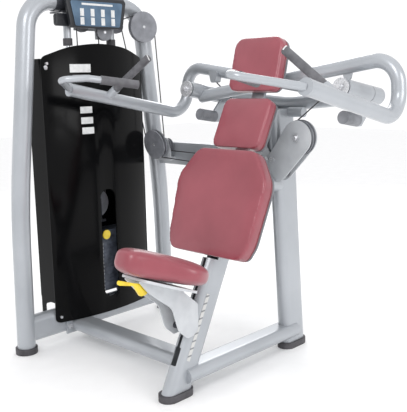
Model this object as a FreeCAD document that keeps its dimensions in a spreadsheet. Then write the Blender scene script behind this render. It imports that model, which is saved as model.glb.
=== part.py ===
import FreeCAD, Part
import math
import os
from FreeCAD import Placement, Rotation, Vector

# Selectorised shoulder press machine, millimetres.
# +Z is up, the user sits at X = 0 facing -Y, and the weight stack tower stands on the -X side.
# The origin is the middle of the underside of the seat column's foot.

doc = FreeCAD.newDocument("ShoulderPress")

# ---------------------------------------------------------------- driving dimensions
SIZES = {
    # tower
    "tower_x": -790, "tower_y": 284, "foot_half": 405, "knee_half": 392, "knee_z": 620,
    "shoulder_half": 296, "arch_z": 1461, "arch_radius": 38, "arch_bend": 125,
    "sleeve_radius": 42, "sleeve_half": 178, "tube_wall": 3,
    # oval tubes
    "oval_wide": 104, "oval_high": 56, "base_z": 72, "stand_wide": 60, "stand_high": 115,
    "cross_z": 100, "main_y": 142, "column_thick": 60, "column_deep": 115, "rear_deep": 130,
    "seat_lean": 26.57, "rear_foot_y": 690, "rear_top_y": 614, "column_top": 1004,
    "foot_height": 26, "foot_lip": 8, "foot_pad": 10, "link_radius": 30,
    # arms
    "arm_radius": 25.5, "arm_wall": 3, "arm_bend": 84, "hub_x": 378, "hub_front_y": 474, "hub_z": 1090,
    "hub_length": 255, "hub_radius": 32, "axle_radius": 15, "hub_drop": 9.1, "sleeve_length": 168,
    "housing_length": 70, "run_clear": 0.05, "handle_radius": 12.5, "grip_radius": 16,
    "crossbar_radius": 29, "crossbar_y": 678,
    # shroud
    "shroud_x": -755, "shroud_half": 268, "shroud_bulge": 45, "shroud_sheet": 4,
    # stack
    "stack_y": 291, "rod_half": 116, "rod_radius": 9, "plate_long": 300, "plate_deep": 88,
    "plate_high": 17, "plate_pitch": 17.5, "plate_count": 14, "stack_base_z": 188,
    "top_plate_high": 34, "stem_radius": 12, "pin_radius": 5,
    # cable system
    "cable_radius": 2.6, "bolt_radius": 6, "channel_y": 645,
    # pads and seat
    "pad_thick": 41, "back_thick": 50, "board_thick": 9, "seat_slope": 20.3, "seat_thick": 92,
}
sheet = doc.addObject("Spreadsheet::Sheet", "Sizes")
for row, (alias, number) in enumerate(SIZES.items(), start=1):
    sheet.set(f"A{row}", alias)
    sheet.set(f"B{row}", str(number))
    sheet.setAlias(f"B{row}", alias)
doc.recompute()

SUBPARTS = []


def size(alias):
    """The number in the sheet's cell."""
    return float(getattr(sheet, alias))


def keep(label, piece):
    """Marks an object as a finished sub-part with its own name."""
    piece.Label = label
    SUBPARTS.append(piece)
    return piece


def bind(piece, **texts):
    """Ties an object's sizes to cells of the sheet."""
    for prop, text in texts.items():
        piece.setExpression(prop, text)
    return piece


def place(x=0.0, y=0.0, z=0.0, axis=(0, 0, 1), angle=0.0):
    return Placement(Vector(x, y, z), Rotation(Vector(*axis), angle))


def aim(base, direction):
    """A placement whose local Z runs along direction."""
    turn = Rotation(Vector(0, 0, 1), Vector(*direction))
    return Placement(Vector(*base), turn)


def box(name, length, width, height, spot):
    piece = doc.addObject("Part::Box", name)
    bind(piece, Length=length, Width=width, Height=height)
    piece.Placement = spot
    return piece


def rod(name, radius, height, spot):
    piece = doc.addObject("Part::Cylinder", name)
    bind(piece, Radius=radius, Height=height)
    piece.Placement = spot
    return piece


def cut(name, base, *tools):
    """Takes the tools away from the base, one after another."""
    piece = base
    for number, tool in enumerate(tools, start=1):
        step = doc.addObject("Part::Cut", f"{name}Cut{number}")
        step.Base = piece
        step.Tool = tool
        piece = step
    return piece


def fuse(name, *pieces):
    whole = doc.addObject("Part::MultiFuse", f"{name}Fuse")
    whole.Shapes = list(pieces)
    return whole


def group(name, *pieces):
    """Separate solids that share one sub-part."""
    whole = doc.addObject("Part::Compound", f"{name}Group")
    whole.Links = list(pieces)
    return whole


def rounded_path(points, radii):
    """A wire of straight runs joined by tangent arcs; radii has one entry per inner corner."""
    points = [Vector(*point) for point in points]
    edges = []
    start = points[0]
    for index in range(1, len(points) - 1):
        corner = points[index]
        back = (points[index - 1] - corner).normalize()
        ahead = (points[index + 1] - corner).normalize()
        half = back.getAngle(ahead) / 2
        radius = radii[index - 1]
        reach = radius / math.tan(half)
        bisector = (back + ahead).normalize()
        centre = corner + bisector * (radius / math.sin(half))
        first = corner + back * reach
        last = corner + ahead * reach
        middle = centre - bisector * radius
        if (first - start).Length > 0.001:
            edges.append(Part.LineSegment(start, first).toShape())
        edges.append(Part.Arc(first, middle, last).toShape())
        start = last
    if (points[-1] - start).Length > 0.001:
        edges.append(Part.LineSegment(start, points[-1]).toShape())
    return Part.Wire(edges)


def sweep(name, points, radii, radius_text):
    """A round bar along a bent path."""
    spine = doc.addObject("Part::Feature", f"{name}Path")
    spine.Shape = rounded_path(points, radii)
    ring = doc.addObject("Part::Circle", f"{name}Ring")
    bind(ring, Radius=radius_text)
    first = Vector(*points[1]) - Vector(*points[0])
    ring.Placement = Placement(Vector(*points[0]), Rotation(Vector(0, 0, 1), first))
    bar = doc.addObject("Part::Sweep", f"{name}Sweep")
    bar.Sections = [ring]
    bar.Spine = (spine, [f"Edge{n + 1}" for n in range(len(spine.Shape.Edges))])
    bar.Solid = True
    return bar


def sketch_in(body, name, shapes):
    sketch = body.newObject("Sketcher::SketchObject", name)
    plane = next(f for f in body.Origin.OriginFeatures if f.Role == "XY_Plane")
    sketch.AttachmentSupport = [(plane, "")]
    sketch.MapMode = "FlatFace"
    for shape in shapes:
        sketch.addGeometry(shape, False)
    return sketch


def prism(name, shapes, length, spot):
    """A body: one sketch on its base plane, padded by length along its own Z."""
    body = doc.addObject("PartDesign::Body", name)
    sketch = sketch_in(body, f"{name}Sketch", shapes)
    pad = body.newObject("PartDesign::Pad", f"{name}Pad")
    pad.Profile = sketch
    bind(pad, Length=length)
    body.Placement = spot
    return body


def oval(wide, high):
    """A flat-sided oval about the origin, longer along X when wide is the larger."""
    if wide < high:
        reach = (high - wide) / 2
        radius = wide / 2
        low, top = Vector(0, -reach, 0), Vector(0, reach, 0)
        up = Vector(0, 0, 1)
        return [
            Part.ArcOfCircle(Part.Circle(top, up, radius), 0, math.pi),
            Part.LineSegment(Vector(-radius, reach, 0), Vector(-radius, -reach, 0)),
            Part.ArcOfCircle(Part.Circle(low, up, radius), math.pi, 2 * math.pi),
            Part.LineSegment(Vector(radius, -reach, 0), Vector(radius, reach, 0)),
        ]
    reach = (wide - high) / 2
    radius = high / 2
    up = Vector(0, 0, 1)
    return [
        Part.ArcOfCircle(Part.Circle(Vector(reach, 0, 0), up, radius), -math.pi / 2, math.pi / 2),
        Part.LineSegment(Vector(reach, radius, 0), Vector(-reach, radius, 0)),
        Part.ArcOfCircle(Part.Circle(Vector(-reach, 0, 0), up, radius), math.pi / 2, 1.5 * math.pi),
        Part.LineSegment(Vector(-reach, -radius, 0), Vector(reach, -radius, 0)),
    ]


def polygon(points):
    corners = [Vector(x, y, 0) for x, y in points]
    return [Part.LineSegment(corners[i - 1], corners[i]) for i in range(len(corners))]


def circle(x, y, radius):
    return Part.Circle(Vector(x, y, 0), Vector(0, 0, 1), radius)


def rounded(points, radii):
    """A closed outline whose corners are rounded by the given radii."""
    corners = [Vector(x, y, 0) for x, y in points]
    count = len(corners)
    starts, ends, arcs = [], [], []
    for i, corner in enumerate(corners):
        back = (corners[i - 1] - corner).normalize()
        ahead = (corners[(i + 1) % count] - corner).normalize()
        half = back.getAngle(ahead) / 2
        radius = radii[i]
        reach = radius / math.tan(half)
        bisector = (back + ahead).normalize()
        centre = corner + bisector * (radius / math.sin(half))
        starts.append(corner + back * reach)
        ends.append(corner + ahead * reach)
        middle = centre - bisector * radius
        arcs.append(Part.Arc(starts[-1], middle, ends[-1]))
    outline = []
    for i in range(count):
        outline.append(arcs[i])
        outline.append(Part.LineSegment(ends[i], starts[(i + 1) % count]))
    return outline


# ---------------------------------------------------------------- frame: tower
TX, TY = size("tower_x"), size("tower_y")
STEEL_IN = "Sizes.tube_wall"


def arch(side, name):
    """One half of the tower's bent tube: foot, gentle knee, shoulder bend, end at the top sleeve."""
    points = [
        (TX, TY + side * size("foot_half"), size("foot_pad")),
        (TX, TY + side * size("knee_half"), size("knee_z")),
        (TX, TY + side * size("shoulder_half"), size("arch_z")),
        (TX, TY + side * size("sleeve_half"), size("arch_z")),
    ]
    radii = [4000, size("arch_bend")]
    outer = sweep(f"{name}Outer", points, radii, "Sizes.arch_radius")
    inner = sweep(f"{name}Inner", points, radii, f"Sizes.arch_radius - {STEEL_IN}")
    keep(name, cut(name, outer, inner))
    return outer


front_leg = arch(-1, "tower_arch_front")
rear_leg = arch(1, "tower_arch_rear")

top_sleeve = rod(
    "TopSleeve", "Sizes.sleeve_radius", "2 * Sizes.sleeve_half",
    aim((TX, TY - size("sleeve_half"), size("arch_z")), (0, 1, 0)),
)
top_hanger = box(
    "TopHanger", "96", "326", "6",
    place(TX - 60, TY - 150, size("arch_z") - size("sleeve_radius") - 3),
)
top_bore = rod(
    "TopSleeveBore", f"Sizes.arch_radius - {STEEL_IN}", "2 * Sizes.sleeve_half",
    aim((TX, TY - size("sleeve_half"), size("arch_z")), (0, 1, 0)),
)
keep("tower_top_member", fuse("TopMember", cut("TopHollow", top_sleeve, top_bore), top_hanger))


def run_along_y(name, wide, high, x, y0, y1, z):
    """A flat-oval tube along Y; wide is its size along X."""
    turn = Rotation(Vector(1, 0, 0), -90)
    spot = Placement(Vector(x, y0, z), turn)
    outer = prism(f"{name}Outer", oval(wide, high), f"{y1 - y0} mm", spot)
    gap = 2 * size("tube_wall")
    inner = prism(f"{name}Inner", oval(wide - gap, high - gap), f"{y1 - y0} mm", spot)
    return cut(name, outer, inner), outer


cross_tube = run_along_y(
    "CrossTube", size("stand_wide"), size("stand_high"), TX,
    TY - size("foot_half") + 2, TY + size("foot_half") - 2, size("cross_z"),
)[0]
keep("tower_base_beam", cut("CrossCoped", cross_tube, front_leg, rear_leg))

# ---------------------------------------------------------------- frame: columns and base
LEAN = math.radians(size("seat_lean"))
SEAT_AXIS = Vector(0, math.sin(LEAN), math.cos(LEAN))
SEAT_FOOT = Vector(0, -10, 0)
REAR_LEAN = math.degrees(math.atan2(size("rear_foot_y") - size("rear_top_y"), size("column_top")))


def column(name, deep, foot, lean, length):
    spot = Placement(foot, Rotation(Vector(1, 0, 0), lean))
    spot.Base = foot + spot.Rotation.multVec(Vector(0, 0, -60))
    gap = 2 * size("tube_wall")
    outer = prism(f"{name}Outer", oval(size("column_thick"), deep), f"{length} mm", spot)
    inner = prism(
        f"{name}Inner", oval(size("column_thick") - gap, deep - gap), f"{length} mm", spot
    )
    return outer, inner


below_floor = box("BelowFloor", "400", "1200", "210", place(-200, -300, size("foot_pad") - 210))
seat_outer, seat_inner = column("SeatColumn", size("column_deep"), SEAT_FOOT, -size("seat_lean"), 905)
rear_outer, rear_inner = column(
    "RearColumn", size("rear_deep"), Vector(0, size("rear_foot_y"), 0), REAR_LEAN, 1069
)


def on_seat_column(s, front=0.0, x=0.0):
    """A point s along the seat column, front towards the user from its centre line."""
    forward = Vector(0, -SEAT_AXIS.z, SEAT_AXIS.y)
    return SEAT_FOOT + SEAT_AXIS * s + forward * front + Vector(x, 0, 0)


base_y0, base_y1 = 30, size("rear_foot_y") - 6
wide, high = size("oval_wide"), size("oval_high")
base_z = size("base_z")
rear_tube, rear_base_outer = run_along_y("RearBase", wide, high, 0, base_y0, base_y1, base_z + 4)
end_plates = [
    prism(
        f"RearBaseEnd{y}", oval(wide, high), "Sizes.tube_wall",
        Placement(Vector(0, y, base_z + 4), Rotation(Vector(1, 0, 0), -90)),
    )
    for y in (base_y0, base_y1 - size("tube_wall"))
]
keep(
    "rear_base_beam",
    cut("RearBaseCoped", fuse("RearBaseClosed", rear_tube, *end_plates), seat_outer, rear_outer),
)

main_x0 = TX + size("stand_wide") / 2
main_turn = Rotation(Vector(0, 0, 1), Vector(1, 0, 0)).multiply(Rotation(Vector(0, 0, 1), 90))
main_spot = Placement(Vector(main_x0 + 8, size("main_y"), base_z), main_turn)
main_outer = prism("MainOuter", oval(wide, high), f"{-main_x0 - 20} mm", main_spot)
main_inner = prism("MainInner", oval(wide - 6, high - 6), f"{-main_x0 - 20} mm", main_spot)
main_tube = cut("MainHollow", main_outer, main_inner)
main_flange = box("MainFlange", "8", "158", "60", place(main_x0, size("main_y") - 79, base_z - 32))
main_coped = cut("MainCoped", main_tube, rear_base_outer)
keep("main_base_beam", fuse("MainBeam", main_coped, main_flange))

# The crossbar passes behind both arms and ends in the two hub housings.
DROP = math.radians(size("hub_drop"))
HUB_AXIS = Vector(0, math.cos(DROP), -math.sin(DROP))


def hub_point(side, s):
    return Vector(side * size("hub_x"), size("hub_front_y"), size("hub_z")) + HUB_AXIS * s


def hub_rod(name, side, s, radius, length):
    return rod(name, radius, length, aim(tuple(hub_point(side, s)), tuple(HUB_AXIS)))


bar_s = (size("crossbar_y") - size("hub_front_y")) / math.cos(DROP)
bar_z = hub_point(1, bar_s).z
bar_points = [
    (-size("hub_x"), size("crossbar_y"), bar_z),
    (0, size("crossbar_y"), bar_z - 34),
    (size("hub_x"), size("crossbar_y"), bar_z),
]
bar_outer = sweep("CrossbarOuter", bar_points, [420], "Sizes.crossbar_radius")
bar_inner = sweep("CrossbarInner", bar_points, [420], f"Sizes.crossbar_radius - {STEEL_IN}")
housing_s = size("sleeve_length") + 3
housing_solids = [
    hub_rod(f"HousingSolid{side}", side, housing_s, "Sizes.hub_radius", "Sizes.housing_length")
    for side in (-1, 1)
]
housing_bores = [
    hub_rod(f"HousingBore{side}", side, housing_s - 5, "Sizes.axle_radius", "Sizes.housing_length + 10")
    for side in (-1, 1)
]
crossbar = cut("Crossbar", bar_outer, bar_inner, *housing_solids)
keep(
    "pivot_housings",
    group("Housings", *[cut(f"Housing{i}", housing_solids[i], housing_bores[i]) for i in (0, 1)]),
)


def pivot_axle(side):
    shaft = hub_rod(f"Axle{side}", side, -3, "Sizes.axle_radius", "Sizes.hub_length - 8")
    head = hub_rod(f"AxleHead{side}", side, -11, "Sizes.hub_radius", "8")
    nut = hub_rod(f"AxleBolt{side}", side, -18, "11", "8")
    return fuse(f"PivotAxle{side}", shaft, head, nut)


keep("pivot_axles", group("PivotAxles", pivot_axle(-1), pivot_axle(1)))

# The seat column faces the user with a long slot; its top is closed under the pad post.
def leaned(point, tilt, behind=0.0):
    """A frame whose Y climbs along a surface tilted back by tilt and whose Z faces the user."""
    turn = Rotation(Vector(1, 0, 0), 90 - tilt)
    spot = Placement(Vector(*point), turn)
    spot.Base = spot.Base - turn.multVec(Vector(0, 0, 1)) * behind
    return spot


BACK_FOOT, BACK_TILT = (0, 155, 505), 20.2
pad_back = size("back_thick") + size("board_thick")

column_face = Placement(on_seat_column(0, 10), Rotation(Vector(1, 0, 0), 90 - size("seat_lean")))
column_slot = prism(
    "ColumnSlot", rounded([(-7, 165), (7, 165), (7, 560), (-7, 560)], [6.9] * 4), "60", column_face
)
column_window = prism(
    "ColumnWindow", rounded([(-13, 110), (13, 110), (13, 178), (-13, 178)], [4] * 4), "60", column_face
)
pad_clearance = prism(
    "PadClearance", polygon([(-200, -12), (200, -12), (200, 420), (-200, 420)]), "200",
    leaned(BACK_FOOT, BACK_TILT, pad_back),
)
seat_cap = prism(
    "SeatColumnCap", oval(size("column_thick"), size("column_deep")), "4",
    Placement(on_seat_column(841), Rotation(Vector(1, 0, 0), -size("seat_lean"))),
)
seat_hollow = cut("SeatHollow", seat_outer, seat_inner)
keep(
    "seat_column",
    cut("SeatColumn", fuse("SeatClosed", seat_hollow, seat_cap), below_floor, column_slot,
        column_window, pad_clearance),
)

cable_notch = box("CableNotch", "80", "40", "20", place(-40, 548, 736))
rear_cap = prism(
    "RearColumnCap", oval(size("column_thick"), size("rear_deep")), "4",
    Placement(
        Vector(0, size("rear_foot_y"), 0) + Rotation(Vector(1, 0, 0), REAR_LEAN).multVec(Vector(0, 0, 1005)),
        Rotation(Vector(1, 0, 0), REAR_LEAN),
    ),
)
stubs = [
    rod(f"SideStub{side}", "20", "68", aim((side * 30, 640, 993), (side, 0, 0))) for side in (-1, 1)
]
rear_hollow = cut("RearHollow", rear_outer, rear_inner)
rear_column = cut(
    "RearColumn", fuse("RearClosed", rear_hollow, rear_cap, *stubs), below_floor, cable_notch, bar_outer
)
keep("rear_column", rear_column)

link_points = [(0, 388, 722), (0, 522, 722), (0, 660, 686)]
link_outer = sweep("LinkOuter", link_points, [200], "Sizes.link_radius")
link_inner = sweep("LinkInner", link_points, [200], f"Sizes.link_radius - {STEEL_IN}")
keep("column_link_tube", cut("LinkTube", link_outer, link_inner, seat_outer, rear_outer))

# ---------------------------------------------------------------- feet
seat_stand = cut("SeatStand", seat_outer, below_floor)
rear_stand = cut("RearStand", rear_outer, below_floor)


def foot(name, wide, deep, x, y, tube):
    cup = prism(
        name, oval(wide + 2 * size("foot_lip"), deep + 2 * size("foot_lip")), "Sizes.foot_height",
        place(x, y, 0),
    )
    return cut(name, cup, tube)


leg_wide = 2 * size("arch_radius")
seat_long = size("column_deep") / math.cos(LEAN)
keep(
    "rubber_feet",
    group(
        "Feet",
        foot("FrontFoot", leg_wide, leg_wide + 0.4, TX, TY - size("foot_half"), front_leg),
        foot("RearFoot", leg_wide, leg_wide + 0.4, TX, TY + size("foot_half"), rear_leg),
        foot("SeatFoot", size("column_thick"), seat_long, 0, 0, seat_stand),
        foot("ColumnFoot", size("column_thick"), size("rear_deep"), 0, size("rear_foot_y") - 1, rear_stand),
    ),
)

# ---------------------------------------------------------------- shroud
SHROUD_Y = 280
half = size("shroud_half")
bulge = size("shroud_bulge")
shroud_x = size("shroud_x")
skin = size("shroud_sheet")


def bowed_sheet():
    """The front panel in plan: two nested arcs closed at both side edges."""
    outer = Part.Arc(
        Vector(shroud_x, SHROUD_Y - half, 0), Vector(shroud_x + bulge, SHROUD_Y, 0),
        Vector(shroud_x, SHROUD_Y + half, 0),
    )
    inner = Part.Arc(
        Vector(shroud_x - skin, SHROUD_Y - half, 0), Vector(shroud_x + bulge - skin, SHROUD_Y, 0),
        Vector(shroud_x - skin, SHROUD_Y + half, 0),
    )
    ends = [
        Part.LineSegment(Vector(shroud_x, y, 0), Vector(shroud_x - skin, y, 0))
        for y in (SHROUD_Y - half, SHROUD_Y + half)
    ]
    return [outer, inner, *ends]


SIDEWAYS = Rotation(Vector(0, 0, 1), Vector(1, 0, 0)).multiply(Rotation(Vector(0, 0, 1), 90))
face_on = Placement(Vector(shroud_x - 40, 0, 0), SIDEWAYS)
panel_outline = rounded(
    [(12, 101), (548, 101), (548, 1232), (430, 1275), (280, 1292), (130, 1275), (12, 1232)],
    [20, 20, 30, 400, 600, 400, 30],
)
panel_sheet = prism("PanelSheet", bowed_sheet(), "1400", place(0, 0, 0))
panel_blank = prism("PanelBlank", panel_outline, "140", face_on)
panel_slot = prism(
    "PanelSlot", rounded([(247, 172), (331, 172), (331, 660), (247, 660)], [40] * 4), "140", face_on
)
panel_cut = doc.addObject("Part::Common", "PanelTrim")
panel_cut.Base = panel_sheet
panel_cut.Tool = panel_blank
keep("shroud_front_panel", cut("FrontPanel", panel_cut, panel_slot))

SIDE_VIEW = Rotation(Vector(1, 0, 0), 90)
side_x = shroud_x - skin - 0.2
side_outline = [
    (-862, 100), (-832, 100), (-832, 176), (-790, 190), (side_x, 190), (side_x, 1226), (-862, 1226)
]
side_panels = [
    prism(
        f"SidePanel{y}", rounded(side_outline, [4, 4, 14, 30, 3, 6, 20]), "3",
        Placement(Vector(0, y, 0), SIDE_VIEW),
    )
    for y in (SHROUD_Y - half + 5, SHROUD_Y + half - 2)
]
back_panel = prism(
    "BackPanel", rounded([(14, 190), (546, 190), (546, 1222), (14, 1222)], [20] * 4), "3",
    Placement(Vector(-865, 0, 0), SIDEWAYS),
)
cable_slot = box("CasingCableSlot", "44", "20", "120", place(-806, 538, 1000))
far_side = cut("FarSidePanel", side_panels[1], cable_slot)
keep("shroud_casing", group("Casing", side_panels[0], far_side, back_panel))

# placard at the head of the tower, with the black cover behind its front edge
housing_outline = rounded([(150, 1352), (422, 1352), (446, 1474), (126, 1474)], [12] * 4)
placard_body = prism(
    "PlacardBody", housing_outline, "16", Placement(Vector(-738, 0, 0), SIDEWAYS)
)
placard_neck = box("PlacardNeck", "22", "140", "36", place(-760, 214, 1438))
placard_neck_coped = cut("PlacardNeckCoped", placard_neck, top_sleeve)
placard_housing = fuse("PlacardHousing", placard_body, placard_neck_coped)
keep(
    "placard_panel",
    prism(
        "PlacardPanel", rounded([(170, 1360), (404, 1360), (424, 1462), (148, 1462)], [8] * 4), "3",
        Placement(Vector(-722, 0, 0), SIDEWAYS),
    ),
)
head_cover = prism(
    "HeadCover", rounded([(96, 1360), (204, 1360), (204, 1410), (96, 1410)], [12] * 4), "18",
    Placement(Vector(-771, 0, 0), SIDEWAYS),
)
keep("placard_housing", group("HeadCovers", placard_housing, head_cover))

# ---------------------------------------------------------------- weight stack
rod_y = [size("stack_y") - size("rod_half"), size("stack_y") + size("rod_half")]
rod_top = size("arch_z") - size("sleeve_radius") - 3
rod_foot = size("cross_z") + size("stand_high") / 2
buffer_top = size("stack_base_z")


def upright(name, radius, y, z0, z1):
    return rod(name, radius, f"{z1 - z0} mm", place(TX, y, z0))


def ring(name, outer, inner, y, z0, z1):
    tube = upright(f"{name}Tube", outer, y, z0, z1)
    bore = upright(f"{name}Bore", inner, y, z0 - 1, z1 + 1)
    return cut(name, tube, bore)


guide = "Sizes.rod_radius"
keep(
    "guide_rods",
    group("GuideRods", *[upright(f"GuideRod{y:.0f}", guide, y, rod_foot, rod_top) for y in rod_y]),
)
keep(
    "guide_rod_sleeves",
    group("RodSleeves", *[ring(f"RodSleeve{y:.0f}", "16", guide, y, 1312, rod_top) for y in rod_y]),
)
collars = [ring(f"Collar{y:.0f}", "20", guide, y, 1282, 1312) for y in rod_y]
cushions = [ring(f"Cushion{y:.0f}", "24", guide, y, rod_foot, buffer_top) for y in rod_y]
keep("rubber_buffers", group("Buffers", *collars, *cushions))

plate_long, plate_deep = size("plate_long"), size("plate_deep")
plate_outline = [
    (-plate_deep / 2, -plate_long / 2), (plate_deep / 2, -plate_long / 2),
    (plate_deep / 2, plate_long / 2), (-plate_deep / 2, plate_long / 2),
]
count = int(size("plate_count"))
pitch = size("plate_pitch")


def stack_plate(name, z, holes, high):
    hole_shapes = [circle(0, side * size("rod_half"), holes) for side in (-1, 1)]
    middle = [circle(0, 0, size("stem_radius") + 1)]
    outline = rounded(plate_outline, [8] * 4) + hole_shapes + middle
    return prism(name, outline, high, place(TX, size("stack_y"), z))


keep(
    "weight_plates",
    group(
        "Plates",
        *[
            stack_plate(f"Plate{n}", buffer_top + n * pitch, size("rod_radius") + 0.6, "Sizes.plate_high")
            for n in range(count)
        ],
    ),
)
top_z = buffer_top + count * pitch
pin_z = top_z + size("top_plate_high") / 2
pin_y = size("stack_y")
top_plate = prism(
    "TopPlate",
    rounded(plate_outline, [8] * 4)
    + [circle(0, side * size("rod_half"), size("rod_radius") + size("run_clear")) for side in (-1, 1)]
    + [circle(0, 0, size("stem_radius"))],
    "Sizes.top_plate_high", place(TX, size("stack_y"), top_z),
)
pin_bore = rod(
    "PinBore", "Sizes.pin_radius + Sizes.run_clear", "120", aim((TX - 5, pin_y, pin_z), (1, 0, 0))
)
keep("top_weight", cut("TopWeight", top_plate, pin_bore))
stem_low = upright("StemLow", "Sizes.stem_radius", size("stack_y"), buffer_top + 6, top_z + 70)
stem_bored = cut("SelectorStem", stem_low, pin_bore)
plate_face = TX + plate_deep / 2
shank = rod(
    "PinShank", "Sizes.pin_radius", f"{plate_face - TX + 2} mm", aim((TX - 1, pin_y, pin_z), (1, 0, 0))
)
knob = rod("PinKnob", "16", "8", aim((plate_face + 1, pin_y, pin_z), (1, 0, 0)))
knob_rim = rod("PinKnobRim", "21", "4", aim((plate_face + 8, pin_y, pin_z), (1, 0, 0)))
keep("selector_pin", fuse("SelectorPin", shank, knob, knob_rim))

# ---------------------------------------------------------------- the cable and its pulleys
# One cable runs between the two arms; the stack pulley hangs in its middle bight.
CABLE = "Sizes.cable_radius"
LIFT_AXIS = Vector(0, 0, 1)
BIG_X, BIG_Z, BIG_Y, BIG_RUN = 131, 900, 571, 60
LOW_Y, LOW_X, LOW_Z, LOW_RUN = 586, -696, 840, 60
TURN_X, TURN_Y, TURN_Z, TURN_RUN = -672, 631, 830, 24
UP, UP_RUN = Vector(-735, 540, 1366), 60
UP_DIR = Vector(0.3, 0.954, 0).normalize()
STACK, STACK_RUN = Vector(TX, 281, 590), 55
HEAD_Z, CROSS_Z, HEAD_RUN = 1340, 1378, 28
LINE_X, CROSS_X = -765, -815
LINE_Y, CROSS_Y0, CROSS_Y1 = 320, 242, 482
LEFT_TURN, LEFT_TURN_RUN = (58, 760), 13
RIGHT_TURN, RIGHT_TURN_RUN = (-88, 815), 17
ANCHOR = {1: Vector(338, 571, 1128), -1: Vector(-338, 592, 1128)}
TENSION_TURN = 0.466


def past_corner(before, corner, after, radius):
    """Where a rounded corner ends on its outgoing straight."""
    back = (before - corner).normalize()
    ahead = (after - corner).normalize()
    return corner + ahead * (radius / math.tan(back.getAngle(ahead) / 2))


def arm_end(side):
    """The last corner at the big pulley, the end of its arc and the end at the arm."""
    corner = Vector(side * (BIG_X - BIG_RUN), BIG_Y, BIG_Z + BIG_RUN * math.tan(TENSION_TURN))
    below = corner - Vector(0, 0, 50)
    leave = past_corner(below, corner, ANCHOR[side], BIG_RUN)
    pull = (ANCHOR[side] - corner).normalize()
    return corner, leave, ANCHOR[side] - pull * 24


stack_front = Vector(TX, STACK.y - STACK_RUN, STACK.z)
stack_rear = Vector(TX, STACK.y + STACK_RUN, STACK.z)
head_front = Vector(CROSS_X, CROSS_Y0, CROSS_Z)
head_line = Vector(LINE_X, LINE_Y, HEAD_Z)
share = (HEAD_Z - STACK.z) / (CROSS_Z - STACK.z)
leg_front_top = stack_front + (head_front - stack_front) * share
right_corner, right_leave, right_end = arm_end(-1)
left_corner, left_leave, left_end = arm_end(1)
right_route = [
    head_line, head_line + LIFT_AXIS * 21, UP + UP_DIR * UP_RUN + LIFT_AXIS * 81,
    Vector(TURN_X - TURN_RUN, TURN_Y, TURN_Z - TURN_RUN),
    Vector(RIGHT_TURN[0] + RIGHT_TURN_RUN, BIG_Y, RIGHT_TURN[1] - RIGHT_TURN_RUN),
    right_corner, right_leave,
]
right_runs = [HEAD_RUN, UP_RUN, TURN_RUN, RIGHT_TURN_RUN, BIG_RUN]
left_route = [
    leg_front_top, head_front + LIFT_AXIS * HEAD_RUN,
    Vector(CROSS_X, CROSS_Y1, CROSS_Z + HEAD_RUN),
    Vector(LOW_X - LOW_RUN, LOW_Y, LOW_Z - LOW_RUN),
    Vector(LEFT_TURN[0] + LEFT_TURN_RUN, BIG_Y, LEFT_TURN[1] - LEFT_TURN_RUN),
    left_corner, left_leave,
]
left_runs = [HEAD_RUN, HEAD_RUN, LOW_RUN, LEFT_TURN_RUN, BIG_RUN]
right_line = sweep("RightLine", right_route, right_runs, CABLE)
left_line = sweep("LeftLine", left_route, left_runs, CABLE)
keep("frame_cables", group("FrameCables", right_line, left_line))


def cylinder(name, start, end, radius="Sizes.bolt_radius"):
    """A round bar between two points."""
    return rod(name, radius, f"{(end - start).Length} mm", aim(tuple(start), tuple(end - start)))


keep("arm_cable_left", cylinder("ArmCableLeft", left_leave, left_end, CABLE))
keep("arm_cable_right", cylinder("ArmCableRight", right_leave, right_end, CABLE))
leg_gap = LIFT_AXIS * 0.3
leg_front = cylinder("LegFront", stack_front + leg_gap, leg_front_top, CABLE)
leg_rear = cylinder("LegRear", stack_rear + leg_gap, head_line, CABLE)
keep("stack_cable_legs", group("CableLegs", leg_front, leg_rear))
bight = [
    stack_front, stack_front - LIFT_AXIS * STACK_RUN, stack_rear - LIFT_AXIS * STACK_RUN, stack_rear
]
keep("stack_cable_loop", sweep("CableLoop", bight, [STACK_RUN, STACK_RUN], CABLE))


def wheel_at(route, index, radius):
    """Centre and axis of the wheel that rounds one corner of a route; the axis faces the user."""
    before, corner, after = route[index - 1:index + 2]
    back = (before - corner).normalize()
    ahead = (after - corner).normalize()
    centre = corner + (back + ahead).normalize() * (radius / math.sin(back.getAngle(ahead) / 2))
    axis = back.cross(ahead).normalize()
    facing = Vector(1, -1, 0)
    return centre, axis if axis.dot(facing) > 0 else axis * -1


def pulley(name, wheel, run, thick):
    """A grooved wheel whose cable runs at radius run about its centre."""
    centre, along = wheel

    def disc(label, radius, width):
        half_width = along * (width / 2)
        return cylinder(f"{name}{label}", centre - half_width, centre + half_width, f"{radius} mm")

    groove = cut(f"{name}Groove", disc("GrooveOut", run + 30, 9), disc("GrooveIn", run - 3.2, 11))
    bore = disc("Bore", size("bolt_radius") + size("run_clear"), thick + 4)
    return cut(name, disc("Wheel", run + 8, thick), groove, bore)


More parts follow.
